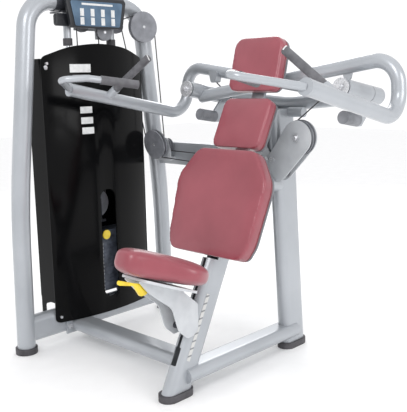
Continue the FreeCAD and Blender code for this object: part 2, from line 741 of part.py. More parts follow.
WHEELS = {
    "head_pulley_line": (wheel_at(right_route, 1, HEAD_RUN), HEAD_RUN, 16),
    "upper_guide_pulley": (wheel_at(right_route, 2, UP_RUN), UP_RUN, 24),
    "rear_guide_pulley": (wheel_at(right_route, 3, TURN_RUN), TURN_RUN, 16),
    "turn_pulley_right": (wheel_at(right_route, 4, RIGHT_TURN_RUN), RIGHT_TURN_RUN, 16),
    "big_pulley_right": (wheel_at(right_route, 5, BIG_RUN), BIG_RUN, 20),
    "head_pulley_front": (wheel_at(left_route, 1, HEAD_RUN), HEAD_RUN, 16),
    "head_pulley_rear": (wheel_at(left_route, 2, HEAD_RUN), HEAD_RUN, 16),
    "lower_guide_pulley": (wheel_at(left_route, 3, LOW_RUN), LOW_RUN, 24),
    "turn_pulley_left": (wheel_at(left_route, 4, LEFT_TURN_RUN), LEFT_TURN_RUN, 16),
    "big_pulley_left": (wheel_at(left_route, 5, BIG_RUN), BIG_RUN, 20),
    "stack_pulley": ((STACK, Vector(1, 0, 0)), STACK_RUN, 20),
}
for label, (wheel, run, thick) in WHEELS.items():
    keep(label, pulley(label.title().replace("_", ""), wheel, run, thick))


def wheel_axle(label, front, back):
    """An axle through one wheel, reaching front and back from its middle."""
    centre, along = WHEELS[label][0]
    return cylinder(f"Axle{label.title()}", centre - along * back, centre + along * front)


cheeks = [
    prism(
        f"StackCheek{x}", rounded([(262, 503), (300, 503), (300, 612), (262, 612)], [6] * 4), "4",
        Placement(Vector(TX + x, 0, 0), SIDEWAYS),
    )
    for x in (-16, 12)
]
yoke = box("StackYoke", "32", "60", "10", place(TX - 16, 262, top_z + 70))
yoke_axle = wheel_axle("stack_pulley", 20, 20)
keep("selector_stem", fuse("StemAndYoke", stem_bored, yoke, *cheeks, yoke_axle))


def stadium(near, far, near_radius, far_radius):
    """Outline of a link plate: a large round end and a smaller round end joined by straight sides."""
    near, far = Vector(*near, 0), Vector(*far, 0)
    along = (far - near).normalize()
    side = Vector(-along.y, along.x, 0)
    a, b = near + side * near_radius, far + side * far_radius
    c, d = far - side * far_radius, near - side * near_radius
    return [
        Part.LineSegment(a, b),
        Part.Arc(b, far + along * far_radius, c),
        Part.LineSegment(c, d),
        Part.Arc(d, near - along * near_radius, a),
    ]


def link_plate(name, side, y, thick):
    outline = stadium((side * BIG_X, BIG_Z), (side * 34, 782), 66, 56)
    return prism(name, outline, thick, Placement(Vector(0, y, 0), SIDE_VIEW))


plates = []
for side, front, rear in ((1, 551, 589), (-1, 558, 598)):
    front_plate = link_plate(f"FrontPlate{side}", side, front, "5")
    plates.append(cut(f"FrontPlateTrim{side}", front_plate, link_outer))
    back_plate = link_plate(f"BackPlate{side}", side, rear, "5")
    plates.append(cut(f"BackPlateTrim{side}", back_plate, rear_outer, link_outer))
    boss = cylinder(f"PlateBoss{side}", Vector(side * 14, front, 812), Vector(side * 14, 600, 812), "9")
    plates.append(cut(f"PlateBossTrim{side}", boss, rear_outer))

carrier = prism(
    "GuideCarrier",
    rounded([(-745, 758), (-640, 758), (-640, 800), (-662, 864), (-722, 864), (-745, 840)], [8] * 6),
    "4", Placement(Vector(0, 616, 0), SIDE_VIEW),
)
channel_y = size("channel_y")
standoffs = [
    cylinder(f"Standoff{x}", Vector(x, 616, z), Vector(x, channel_y, z), "8")
    for x, z in ((-735, 775), (-650, 768))
]
up_centre, up_axis = WHEELS["upper_guide_pulley"][0]
upper_arm = cylinder("UpperArm", up_centre - up_axis * 15, up_centre - up_axis * 80, "15")
head_plates = [
    box("HeadBracketLine", "4", "70", "106", place(LINE_X - 16, LINE_Y - 7, 1310)),
    box("HeadBracketCross", "4", "264", "66", place(CROSS_X - 18, 238, 1350)),
]
keep(
    "pulley_brackets",
    group(
        "PulleyBrackets", *plates, carrier, *standoffs, cut("UpperBoss", upper_arm, rear_leg), *head_plates
    ),
)
pins = [
    wheel_axle("big_pulley_left", 20, 13),
    wheel_axle("big_pulley_right", 17, 16),
    wheel_axle("turn_pulley_left", 20, 12.5),
    wheel_axle("turn_pulley_right", 14, 20),
    wheel_axle("lower_guide_pulley", 14, 36),
    wheel_axle("rear_guide_pulley", 9, 16.5),
    wheel_axle("upper_guide_pulley", 14, 15),
    wheel_axle("head_pulley_line", 10, 12),
    wheel_axle("head_pulley_front", 10, 14),
    wheel_axle("head_pulley_rear", 10, 14),
]

channel_outer = box("ChannelOuter", "760", "40", "102", place(-784, size("channel_y"), 740))
channel_inner = box("ChannelInner", "760", "34", "96", place(-784, size("channel_y") + 3, 743))
keep("cable_channel", cut("CableChannel", channel_outer, channel_inner, rear_leg, rear_outer))

# ---------------------------------------------------------------- press arms
LIMB_END_Z = 1056


def press_arm(side, name, corner_y, limb_y, lug_front, lug_back):
    points = [
        (side * 562, 14, 1099), (side * 546, corner_y, 972),
        (side * 533, corner_y, 1190), (-side * 372, limb_y, LIMB_END_Z),
    ]
    bends = [size("arm_bend")] * 2
    outer = sweep(f"{name}Outer", points, bends, "Sizes.arm_radius")
    inner = sweep(f"{name}Inner", points, bends, "Sizes.arm_radius - Sizes.arm_wall")
    hub = hub_rod(f"{name}Hub", -side, 4, "Sizes.hub_radius", "Sizes.sleeve_length - 4")
    bore = hub_rod(
        f"{name}HubBore", -side, 0, "Sizes.axle_radius + Sizes.run_clear", "Sizes.sleeve_length + 6"
    )
    front = (Vector(*points[0]) - Vector(*points[1])).normalize()
    tube_front = Vector(*points[0])
    plug = cylinder(f"{name}Plug", tube_front, tube_front + front * 8, "Sizes.arm_radius + 1")
    lug = prism(
        f"{name}Lug",
        rounded(
            [(side * 316, 1162), (side * 364, 1162), (side * 352, 1114), (side * 326, 1114)], [4, 4, 10, 10]
        ),
        f"{lug_back - lug_front} mm", Placement(Vector(0, lug_back, 0), SIDE_VIEW),
    )
    solid = fuse(f"{name}Solid", outer, hub, plug, lug)
    whole = cut(name, solid, cut(f"{name}Hollow", inner, hub), bore)
    return whole, outer, plug


def handles(side, name, arm_outer, arm_plug):
    start = (side * 561, 12, 1099)
    bar_points = [start, (side * 406, -142, 1138), (side * 352, -60, 1141), (side * 289, 120, 1114)]
    bar = sweep(f"{name}Bar", bar_points, [28, 60], "Sizes.handle_radius")
    root, tip = Vector(side * 548, 187, 1068), Vector(side * 333, 217, 1212)
    slope = (tip - root).normalize()
    post = cylinder(f"{name}Post", root, tip, "11")
    socket = cylinder(f"{name}Socket", root, root + slope * 56, "17")
    bars = group(
        f"{name}Bars", cut(f"{name}BarCoped", bar, arm_outer, arm_plug),
        cut(f"{name}PostCoped", fuse(f"{name}PostSocket", post, socket), arm_outer),
    )
    bar_end, bar_from = Vector(*bar_points[3]), Vector(*bar_points[2])
    reach = (bar_end - bar_from).normalize()
    grip = cylinder(f"{name}Grip", bar_from + reach * 50, bar_end + reach * 4, "Sizes.grip_radius")
    post_grip = cylinder(f"{name}PostGrip", root + slope * 58, tip + slope * 4, "15")
    grips = group(
        f"{name}Grips", cut(f"{name}GripBored", grip, bar), cut(f"{name}PostBored", post_grip, post)
    )
    return bars, grips


for side, name, word, corner_y, limb_y, lug_span in (
    (1, "LeftArm", "left", 575, 552, (567, 575)),
    (-1, "RightArm", "right", 633, 610, (588, 622)),
):
    arm, arm_outer, arm_plug = press_arm(side, name, corner_y, limb_y, *lug_span)
    keep(f"{word}_arm_tube", arm)
    bars, grips = handles(side, name, arm_outer, arm_plug)
    keep(f"{word}_handle_bars", bars)
    keep(f"{word}_grips", grips)

bumpers = []
hangers = []
for side in (-1, 1):
    middle = Vector(side * 355, 564, 977)
    bumpers.append(cylinder(f"Bumper{side}", middle - HUB_AXIS * 45, middle + HUB_AXIS * 45, "24"))
    hanger = prism(
        f"BumperHanger{side}",
        polygon([(609, 946), (636, 946), (698, 1004), (698, 1050), (660, 1050), (609, 998)]), "8",
        Placement(Vector(side * 355 - 4, 0, 0), SIDEWAYS),
    )
    hangers.append(cut(f"BumperHangerCoped{side}", hanger, bar_outer, bumpers[-1], *housing_solids))
keep("arm_bumpers", group("ArmBumpers", *bumpers))
keep("pivot_crossbar", fuse("CrossbarAndHangers", crossbar, *hangers))

# ---------------------------------------------------------------- pads
back_outline = [
    (-176, 0), (176, 0), (200, 58), (219, 280), (142, 391), (-142, 391), (-219, 280), (-200, 58)
]
neck_outline = [(-116, 0), (116, 0), (116, 194), (-116, 194)]
head_outline = [(-118, 0), (118, 0), (118, 202), (-118, 202)]
pad_places = (
    ("back", back_outline, [34, 34, 120, 90, 60, 60, 90, 120], BACK_FOOT, BACK_TILT, size("back_thick")),
    ("neck", neck_outline, [28] * 4, (0, 330, 880), 26.7, size("pad_thick")),
    ("head", head_outline, [34, 34, 44, 44], (0, 433, 1085), 15, size("pad_thick")),
)
boards = []
for name, outline, corners, point, tilt, thick in pad_places:
    cushion = prism(f"{name}Pad", rounded(outline, corners), f"{thick} mm", leaned(point, tilt, thick))
    keep(f"{name}_pad", cushion)
    boards.append(
        prism(
            f"{name}Board", rounded(outline, corners), "Sizes.board_thick",
            leaned(point, tilt, thick + size("board_thick")),
        )
    )
keep("pad_boards", group("PadBoards", *boards))
post_outline = [
    (333, 774.8), (374.7, 857.5), (461.7, 1030.5), (481.3, 1072), (515.6, 1200), (527.2, 1196.9),
    (493, 1069), (472.4, 1025.1), (385.4, 852.1), (344, 769.4),
]
keep("pad_post", prism("PadPost", polygon(post_outline), "60", Placement(Vector(-30, 0, 0), SIDEWAYS)))
keep(
    "height_scale",
    box(
        "HeightScale", "1.2", "16", "250",
        Placement(on_seat_column(140, 26, 30), Rotation(Vector(1, 0, 0), -size("seat_lean"))),
    ),
)

# ---------------------------------------------------------------- seat
SEAT_TURN = Rotation(Vector(1, 0, 0), -size("seat_slope"))
SEAT_NOSE = Vector(0, -245, 610.4)


def seat_layer(name, outline, depth, thick):
    base = SEAT_NOSE - SEAT_TURN.multVec(Vector(0, 0, 1)) * depth
    return prism(name, outline, f"{thick} mm", Placement(base, SEAT_TURN))


seat_outline = [
    (-72, 0), (72, 0), (92, 45), (132, 88), (186, 200), (190, 262),
    (182, 352), (-182, 352), (-190, 262), (-186, 200), (-132, 88), (-92, 45),
]
seat_corners = [40, 40, 60, 80, 120, 200, 50, 50, 200, 120, 80, 60]
seat_thick = size("seat_thick")
keep("seat_pad", seat_layer("SeatPad", rounded(seat_outline, seat_corners), seat_thick, seat_thick))
seat_board = seat_layer(
    "SeatBoard", rounded([(-60, 110), (60, 110), (130, 180), (130, 300), (-130, 300), (-130, 180)], [20] * 6),
    seat_thick + size("board_thick"), size("board_thick"),
)
bracket_outline = [
    (-190, 482.4), (5, 410.3), (30, 386), (86, 338), (85, 241), (61, 225), (31, 222), (-10, 257),
    (-39, 351), (-99, 394), (-145, 431),
]
cheek_plates = [
    prism(
        f"SeatCheek{x}", rounded(bracket_outline, [3, 6, 40, 16, 14, 12, 10, 60, 70, 60, 4]), "5",
        Placement(Vector(x, 0, 0), SIDEWAYS),
    )
    for x in (-38, 33)
]
LEVER_PIVOT = (-140, 446)
lever_pin = rod("LeverPin", "5", "66", aim((-33, *LEVER_PIVOT), (1, 0, 0)))
keep("seat_bracket", fuse("SeatBracket", seat_board, *cheek_plates, lever_pin))

neck_link = prism(
    "CarriageNeck", polygon([(-4, 262), (4, 262), (4, 338), (-4, 338)]), "50",
    Placement(on_seat_column(0, 28), Rotation(Vector(1, 0, 0), 90 - size("seat_lean"))),
)
shoe = prism(
    "CarriageShoe", rounded([(-20, 245), (20, 245), (20, 355), (-20, 355)], [6] * 4), "14",
    Placement(on_seat_column(0, 18), Rotation(Vector(1, 0, 0), 90 - size("seat_lean"))),
)
rollers = []
for s in (250, 330):
    spot = on_seat_column(s, 70.5)
    rollers.append(rod(f"Roller{s}", "12", "66", aim((-33, spot.y, spot.z), (1, 0, 0))))
link_bar = prism(
    "CarriageBar", polygon([(-4, 244), (4, 244), (4, 340), (-4, 340)]), "8",
    Placement(on_seat_column(0, 70), Rotation(Vector(1, 0, 0), 90 - size("seat_lean"))),
)
keep("seat_carriage", fuse("SeatCarriage", neck_link, shoe, link_bar, *rollers))
lever_outline = [
    (-262, 482), (-260, 498), (-194, 474), (-134, 458), (-128, 440), (-150, 424), (-172, 424), (-198, 466)
]
lever_body = prism(
    "LeverBody", rounded(lever_outline, [7, 7, 20, 10, 8, 8, 8, 16]), "10",
    Placement(Vector(18, 0, 0), SIDEWAYS),
)
lever_bore = rod("LeverBore", "5 + Sizes.run_clear", "80", aim((-40, *LEVER_PIVOT), (1, 0, 0)))
keep("seat_lever", cut("SeatLever", lever_body, lever_bore))

# ---------------------------------------------------------------- fasteners
bolts = [
    cylinder(f"FlangeBolt{y}", Vector(main_x0 + 8, y, base_z), Vector(main_x0 + 15, y, base_z), "10")
    for y in (78, 206)
]
for x, z, y in ((BIG_X, BIG_Z, 546), (-BIG_X, BIG_Z, 553), (14, 812, 546), (-14, 812, 546)):
    bolts.append(cylinder(f"PlateBolt{x}", Vector(x, y - 7, z), Vector(x, y, z), "10"))
for y in (34, 526):
    for z in (126, 1206):
        screw = cylinder(f"PanelScrew{y}{z}", Vector(shroud_x - 3, y, z), Vector(shroud_x + 12, y, z), "6")
        bolts.append(cut(f"PanelScrewSeat{y}{z}", screw, panel_sheet))
keep("fasteners", group("Fasteners", *pins, *bolts))

# ---------------------------------------------------------------- check and export
doc.recompute()
faults = [item.Label for item in doc.Objects if "Invalid" in item.State or "Error" in item.State]
faults += [piece.Label for piece in SUBPARTS if piece.Shape.isNull() or not piece.Shape.isValid()]
if faults:
    raise RuntimeError(f"faulty objects: {faults}")

os.makedirs("parts", exist_ok=True)
for piece in SUBPARTS:
    shape = piece.Shape
    shape.exportStep(f"parts/{piece.Label}.step")
    print(f"{piece.Label}: {len(shape.Solids)} solids, {shape.Volume / 1000:.0f} cm3")
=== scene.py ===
import math

import bmesh
import bpy
from mathutils import Matrix, Vector


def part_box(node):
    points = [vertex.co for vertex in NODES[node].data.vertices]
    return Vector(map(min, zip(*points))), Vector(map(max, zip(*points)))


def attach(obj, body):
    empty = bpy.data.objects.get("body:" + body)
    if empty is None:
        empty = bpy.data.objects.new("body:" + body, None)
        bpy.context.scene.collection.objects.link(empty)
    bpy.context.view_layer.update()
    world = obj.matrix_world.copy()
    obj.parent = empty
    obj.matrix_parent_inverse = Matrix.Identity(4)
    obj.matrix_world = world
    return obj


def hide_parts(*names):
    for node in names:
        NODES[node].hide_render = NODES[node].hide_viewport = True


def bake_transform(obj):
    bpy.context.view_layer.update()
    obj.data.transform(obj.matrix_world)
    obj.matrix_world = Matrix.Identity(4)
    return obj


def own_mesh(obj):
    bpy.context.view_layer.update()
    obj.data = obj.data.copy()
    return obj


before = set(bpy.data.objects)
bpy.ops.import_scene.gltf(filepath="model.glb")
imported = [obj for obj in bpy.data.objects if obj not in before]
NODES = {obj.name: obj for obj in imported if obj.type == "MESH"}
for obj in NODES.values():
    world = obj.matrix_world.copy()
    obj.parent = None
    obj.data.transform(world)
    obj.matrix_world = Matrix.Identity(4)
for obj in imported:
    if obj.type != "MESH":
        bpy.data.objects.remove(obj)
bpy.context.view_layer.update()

# Shoulder press machine. Everything is in metres, in the CAD model's own frame:
# +Z is up, the user sits facing -Y and the weight stack tower stands on the -X side.

scene = bpy.context.scene


def rgb(red, green, blue):
    """A linear colour from screen values between 0 and 255."""
    linear = [((v / 255 + 0.055) / 1.055) ** 2.4 for v in (red, green, blue)]
    return (*linear, 1.0)


def link_object(name, data):
    piece = bpy.data.objects.new(name, data)
    scene.collection.objects.link(piece)
    return piece


# ---------------------------------------------------------------- camera, floor and light
CAMERA_PLACE = Vector((1.751, -1.635, 1.123))
CAMERA_AZIMUTH, CAMERA_DOWN, CAMERA_ROLL = 44.21, 10.06, -1.30


def make_camera():
    data = bpy.data.cameras.new("Camera")
    data.lens = 61.7
    data.clip_start, data.clip_end = 0.05, 50
    camera = link_object("Camera", data)
    turn = Matrix.Rotation(math.radians(CAMERA_AZIMUTH), 4, "Z")
    tip = Matrix.Rotation(math.radians(90 - CAMERA_DOWN), 4, "X")
    roll = Matrix.Rotation(math.radians(CAMERA_ROLL), 4, "Z")
    camera.matrix_world = Matrix.Translation(CAMERA_PLACE) @ turn @ tip @ roll
    scene.camera = camera


def area_light(name, place, target, width, energy):
    data = bpy.data.lights.new(name, "AREA")
    data.shape = "SQUARE"
    data.size = width
    data.energy = energy
    lamp = link_object(name, data)
    lamp.location = place
    lamp.rotation_euler = (Vector(target) - Vector(place)).to_track_quat("-Z", "Y").to_euler()


def make_studio():
    """A pale floor, a sky that is bright overhead and at the horizon, and soft lamps."""
    mesh = bpy.data.meshes.new("Floor")
    mesh.from_pydata([(-12, -12, 0), (12, -12, 0), (12, 12, 0), (-12, 12, 0)], [], [(0, 1, 2, 3)])
    floor = link_object("Floor", mesh)
    floor.data.materials.append(painted("floor", rgb(250, 250, 250), rgb(253, 253, 253), 0.8, grain=40))
    world = bpy.data.worlds.new("Studio")
    world.use_nodes = True
    scene.world = world
    tree = world.node_tree
    where = tree.nodes.new("ShaderNodeTexCoord")
    split = tree.nodes.new("ShaderNodeSeparateXYZ")
    ramp = tree.nodes.new("ShaderNodeValToRGB")
    stops = ((0.0, 0.4), (0.30, 0.5), (0.48, 0.93), (0.57, 0.93), (0.72, 0.74), (1.0, 1.0))
    for index, (spot, grey) in enumerate(stops):
        stop = ramp.color_ramp.elements[index] if index < 2 else ramp.color_ramp.elements.new(spot)
        stop.position = spot
        stop.color = (grey, grey, grey * 1.01, 1)
    spread = tree.nodes.new("ShaderNodeMapRange")
    spread.inputs["From Min"].default_value = -1
    tree.links.new(where.outputs["Generated"], split.inputs[0])
    tree.links.new(split.outputs["Z"], spread.inputs["Value"])
    tree.links.new(spread.outputs["Result"], ramp.inputs["Fac"])
    tree.links.new(ramp.outputs["Color"], tree.nodes["Background"].inputs["Color"])
    tree.nodes["Background"].inputs["Strength"].default_value = 1.14
    area_light("KeyLight", (1.6, -2.8, 3.2), (-0.2, 0.1, 0.7), 1.8, 50)
    area_light("SideLight", (3.2, 0.6, 1.9), (0, 0.3, 0.8), 1.5, 26)
    area_light("BackLight", (-2.4, 3.0, 2.6), (-0.2, 0.3, 0.8), 1.8, 34)
    scene.view_settings.view_transform = "Standard"


# ---------------------------------------------------------------- materials
def new_material(name):
    made = bpy.data.materials.new(name)
    made.use_nodes = True
    tree = made.node_tree
    return made, tree, tree.nodes["Principled BSDF"]


def noise(tree, scale, detail=3.0, stretch=(1, 1, 1)):
    """Noise in the object's own metres; stretch slows it along an axis."""
    where = tree.nodes.new("ShaderNodeTexCoord")
    mapping = tree.nodes.new("ShaderNodeMapping")
    mapping.inputs["Scale"].default_value = stretch
    cloud = tree.nodes.new("ShaderNodeTexNoise")
    cloud.inputs["Scale"].default_value = scale
    cloud.inputs["Detail"].default_value = detail
    tree.links.new(where.outputs["Object"], mapping.inputs["Vector"])
    tree.links.new(mapping.outputs["Vector"], cloud.inputs["Vector"])
    return cloud


def two_tones(tree, shader, cloud, dark, light, low=0.35, high=0.65):
    ramp = tree.nodes.new("ShaderNodeValToRGB")
    ramp.color_ramp.elements[0].position = low
    ramp.color_ramp.elements[0].color = dark
    ramp.color_ramp.elements[1].position = high
    ramp.color_ramp.elements[1].color = light
    tree.links.new(cloud.outputs[0], ramp.inputs["Fac"])
    tree.links.new(ramp.outputs["Color"], shader.inputs["Base Color"])
    return ramp


def uneven_roughness(tree, shader, scale, low, high):
    cloud = noise(tree, scale, 4)
    spread = tree.nodes.new("ShaderNodeMapRange")
    spread.inputs["To Min"].default_value = low
    spread.inputs["To Max"].default_value = high
    tree.links.new(cloud.outputs[0], spread.inputs["Value"])
    tree.links.new(spread.outputs["Result"], shader.inputs["Roughness"])


def bumped(tree, shader, height, strength, distance):
    bump = tree.nodes.new("ShaderNodeBump")
    bump.inputs["Strength"].default_value = strength
    bump.inputs["Distance"].default_value = distance
    tree.links.new(height, bump.inputs["Height"])
    tree.links.new(bump.outputs["Normal"], shader.inputs["Normal"])
    return bump


def painted(name, dark, light, rough, metal=0.0, patch=9.0, grain=900.0, bump=0.08, coat=0.0, gloss=0.5,
            stretch=(1, 1, 1)):
    """Paint or moulded plastic: two close tones in soft patches, orange-peel bump, uneven roughness."""
    made, tree, shader = new_material(name)
    two_tones(tree, shader, noise(tree, patch, 4, stretch), dark, light)
    uneven_roughness(tree, shader, patch * 6, rough * 0.82, rough * 1.18)
    bumped(tree, shader, noise(tree, grain, 2, stretch).outputs[0], bump, 0.0004)
    shader.inputs["Metallic"].default_value = metal
    shader.inputs["Coat Weight"].default_value = coat
    shader.inputs["Coat Roughness"].default_value = 0.12
    shader.inputs["Specular IOR Level"].default_value = gloss
    return made


def vinyl(name, dark, light):
    """Grained upholstery vinyl: pebbled cells, faint creases and a soft sheen."""
    made, tree, shader = new_material(name)
    two_tones(tree, shader, noise(tree, 7, 5), dark, light, 0.3, 0.7)
    where = tree.nodes.new("ShaderNodeTexCoord")
    cells = tree.nodes.new("ShaderNodeTexVoronoi")
    cells.inputs["Scale"].default_value = 620
    creases = noise(tree, 95, 6)
    blend = tree.nodes.new("ShaderNodeMath")
    blend.operation = "MULTIPLY_ADD"
    blend.inputs[1].default_value = 0.6
    tree.links.new(where.outputs["Object"], cells.inputs["Vector"])
    tree.links.new(cells.outputs["Distance"], blend.inputs[0])
    tree.links.new(creases.outputs[0], blend.inputs[2])
    bumped(tree, shader, blend.outputs[0], 0.22, 0.0005)
    uneven_roughness(tree, shader, 60, 0.30, 0.42)
    shader.inputs["Sheen Weight"].default_value = 0.12
    shader.inputs["Coat Weight"].default_value = 0.55
    shader.inputs["Coat Roughness"].default_value = 0.24
    return made


def twisted(name, dark, light):
    """Coated wire rope: slanted strands show through a thin skin."""
    made, tree, shader = new_material(name)
    where = tree.nodes.new("ShaderNodeTexCoord")
    strands = tree.nodes.new("ShaderNodeTexWave")
    strands.bands_direction = "DIAGONAL"
    strands.inputs["Scale"].default_value = 130
    strands.inputs["Distortion"].default_value = 0.4
    tree.links.new(where.outputs["Object"], strands.inputs["Vector"])
    two_tones(tree, shader, strands, dark, light, 0.2, 0.8)
    bumped(tree, shader, strands.outputs["Fac"], 0.4, 0.0005)
    uneven_roughness(tree, shader, 200, 0.3, 0.45)
    return made


def striped(name, ground, mark, pitch, share, rough):
    """A printed strip with even cross marks along Z."""
    made, tree, shader = new_material(name)
    where = tree.nodes.new("ShaderNodeTexCoord")
    split = tree.nodes.new("ShaderNodeSeparateXYZ")
    fold = tree.nodes.new("ShaderNodeMath")
    fold.operation = "PINGPONG"
    fold.inputs[1].default_value = pitch / 2
    edge = tree.nodes.new("ShaderNodeMapRange")
    edge.inputs["From Max"].default_value = pitch / 2
    ramp = tree.nodes.new("ShaderNodeValToRGB")
    ramp.color_ramp.interpolation = "CONSTANT"
    ramp.color_ramp.elements[0].color = mark
    ramp.color_ramp.elements[1].position = share
    ramp.color_ramp.elements[1].color = ground
    tree.links.new(where.outputs["Object"], split.inputs[0])
    tree.links.new(split.outputs["Z"], fold.inputs[0])
    tree.links.new(fold.outputs[0], edge.inputs["Value"])
    tree.links.new(edge.outputs["Result"], ramp.inputs["Fac"])
    tree.links.new(ramp.outputs["Color"], shader.inputs["Base Color"])
    uneven_roughness(tree, shader, 40, rough * 0.8, rough * 1.2)
    return made


def make_materials():
    return {
        "silver": painted(
            "silver", rgb(168, 172, 177), rgb(175, 179, 184), 0.32, metal=0.4, patch=5, grain=1400,
            bump=0.02, coat=0.35,
        ),
        "plate_silver": painted(
            "plate_silver", rgb(186, 189, 193), rgb(202, 205, 208), 0.42, metal=0.1, patch=12, bump=0.06
        ),
        "dark_metal": painted("dark_metal", rgb(52, 54, 60), rgb(70, 72, 78), 0.36, metal=0.4, coat=0.2),
        "gloss_black": painted(
            "gloss_black", rgb(4, 4, 5), rgb(8, 8, 9), 0.16, patch=3, grain=120, bump=0.02, gloss=0.1
        ),
        "placard_black": painted("placard_black", rgb(24, 26, 30), rgb(36, 38, 44), 0.42),
        "placard_blue": painted(
            "placard_blue", rgb(62, 88, 112), rgb(84, 110, 134), 0.35, patch=16, coat=0.15
        ),
        "iron": painted("iron", rgb(58, 62, 72), rgb(84, 90, 102), 0.4, metal=0.3, patch=30, bump=0.2),
        "chrome": painted(
            "chrome", rgb(196, 198, 202), rgb(216, 218, 222), 0.12, metal=1.0, patch=20, bump=0.02
        ),
        "rubber": painted("rubber", rgb(60, 59, 62), rgb(80, 78, 82), 0.62, patch=22, grain=1600, bump=0.3),
        "grip": painted("grip", rgb(84, 84, 88), rgb(106, 106, 110), 0.6, patch=30, grain=700, bump=0.45),
        "bumper": painted(
            "bumper", rgb(112, 114, 119), rgb(134, 136, 141), 0.5, patch=26, grain=1400, bump=0.2
        ),
        "board": painted("board", rgb(96, 97, 102), rgb(116, 117, 122), 0.45, patch=14, bump=0.15),
        "pulley": painted("pulley", rgb(112, 114, 120), rgb(134, 136, 142), 0.4, patch=24, bump=0.12),
        "steel": painted(
            "steel", rgb(196, 197, 200), rgb(216, 217, 220), 0.28, metal=0.6, patch=40, bump=0.06
        ),
        "yellow": painted("yellow", rgb(222, 190, 24), rgb(240, 212, 46), 0.3, patch=18, coat=0.4),
        "vinyl": vinyl("vinyl", rgb(134, 54, 66), rgb(149, 66, 78)),
        # Darker copy of the pad vinyl for the welt cord: painted shade along the pads' edges.
        "painted_shade_welt": vinyl("painted_shade_welt", rgb(112, 40, 50), rgb(130, 50, 60)),
        "cable": twisted("cable", rgb(26, 26, 28), rgb(70, 70, 74)),
        "scale": striped("scale", rgb(200, 200, 198), rgb(132, 134, 137), 0.025, 0.24, 0.4),
        "label": painted("label", rgb(206, 208, 208), rgb(224, 225, 225), 0.45, patch=60),
        "label_grey": painted("label_grey", rgb(132, 134, 138), rgb(150, 152, 156), 0.45, patch=60),
    }


NODE_LOOKS = {
    "silver": (
        "tower_arch_front", "tower_arch_rear", "tower_base_beam", "rear_base_beam", "main_base_beam",
        "pivot_crossbar", "pivot_housings", "seat_column", "rear_column", "column_link_tube", "cable_channel",
        "left_arm_tube", "left_handle_bars", "right_arm_tube", "right_handle_bars", "pad_post",
        "guide_rod_sleeves",
    ),
    "plate_silver": ("pulley_brackets", "seat_bracket"),
    "dark_metal": ("tower_top_member", "selector_stem", "seat_carriage"),
    "gloss_black": ("shroud_front_panel", "shroud_casing"),
    "placard_black": ("placard_housing",),
    "placard_blue": ("placard_panel",),
    "iron": ("weight_plates", "top_weight"),
    "chrome": ("guide_rods",),
    "rubber": ("rubber_feet", "rubber_buffers"),
    "bumper": ("arm_bumpers",),
    "grip": ("left_grips", "right_grips"),
    "board": ("pad_boards",),
    "steel": ("pivot_axles", "fasteners"),
    "yellow": ("seat_lever", "selector_pin"),
    "cable": ("frame_cables", "stack_cable_loop"),
    "scale": ("height_scale",),
}
ROUNDED_EDGES = (
    "pulley_brackets", "seat_bracket", "placard_housing", "placard_panel", "shroud_front_panel",
    "pad_boards", "seat_lever", "weight_plates", "top_weight", "rubber_feet", "pad_post", "cable_channel",
)


def dress_nodes(looks):
    """Every CAD node gets its material, smooth round faces and, on plates, slightly rounded edges."""
    look_of = {node: look for look, nodes in NODE_LOOKS.items() for node in nodes}
    for name, piece in NODES.items():
        look = look_of.get(name, "pulley" if "pulley" in name else "vinyl")
        piece.data.materials.clear()
        piece.data.materials.append(looks[look])
        if "custom_normal" in piece.data.attributes:
            piece.data.attributes.remove(piece.data.attributes["custom_normal"])
        piece.data.polygons.foreach_set("use_smooth", [True] * len(piece.data.polygons))
        weld = piece.modifiers.new("Weld", "WELD")
        weld.merge_threshold = 0.00002
        if name in ROUNDED_EDGES:
            edge = piece.modifiers.new("Edges", "BEVEL")
            edge.width = 0.0012
            edge.segments = 2
            edge.limit_method = "ANGLE"
            edge.angle_limit = math.radians(50)
        crease = piece.modifiers.new("Crease", "EDGE_SPLIT")
        crease.split_angle = math.radians(32)


# ---------------------------------------------------------------- small pieces
def finish_piece(name, shape, look, body):
    """Turns a bmesh into a piece that rides on a CAD body."""
    mesh = bpy.data.meshes.new(name)
    bmesh.ops.recalc_face_normals(shape, faces=shape.faces)
    shape.to_mesh(mesh)
    shape.free()
    mesh.materials.append(LOOKS[look])
    piece = link_object(name, mesh)
    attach(piece, body)
    return piece


def facing(place, axis):
    """A matrix whose Z runs along axis."""
    return Matrix.Translation(place) @ Vector(axis).to_track_quat("Z", "Y").to_matrix().to_4x4()


def lathe(shape, profile, matrix, sides=32):
    """Adds a solid of revolution from (radius, height) points to a bmesh."""
    rings = []
    for radius, height in profile:
        ring = []
        for turn in range(sides):
            angle = 2 * math.pi * turn / sides
            spot = Vector((radius * math.cos(angle), radius * math.sin(angle), height))
            ring.append(shape.verts.new(matrix @ spot))
        rings.append(ring)
    for low, high in zip(rings, rings[1:]):
        for turn in range(sides):
            after = (turn + 1) % sides
            face = shape.faces.new((low[turn], low[after], high[after], high[turn]))
            face.smooth = True
    shape.faces.new(rings[0][::-1])
    shape.faces.new(rings[-1])


def bolt(name, place, axis, radius, body):
    """A washer with a chamfered hexagon head on it."""
    shape = bmesh.new()
    matrix = facing(place, axis)
    lathe(shape, [(radius * 1.55, 0), (radius * 1.55, 0.0016), (radius * 1.48, 0.002)], matrix)
    head = radius * 0.7
    lathe(
        shape,
        [(radius, 0.002), (radius, 0.002 + head * 0.85), (radius * 0.86, 0.002 + head)],
        matrix, sides=6,
    )
    for face in shape.faces:
        face.smooth = False
    return finish_piece(name, shape, "steel", body)


def tube_between(shape, start, end, radius, steps, sides=12):
    """Adds a round bar cut into steps along its length."""
    start, end = Vector(start), Vector(end)
    length = (end - start).length
    matrix = facing(start, end - start)
    lathe(shape, [(radius, length * step / steps) for step in range(steps + 1)], matrix, sides)


# ---------------------------------------------------------------- cables
CABLE_RADIUS = 0.0026


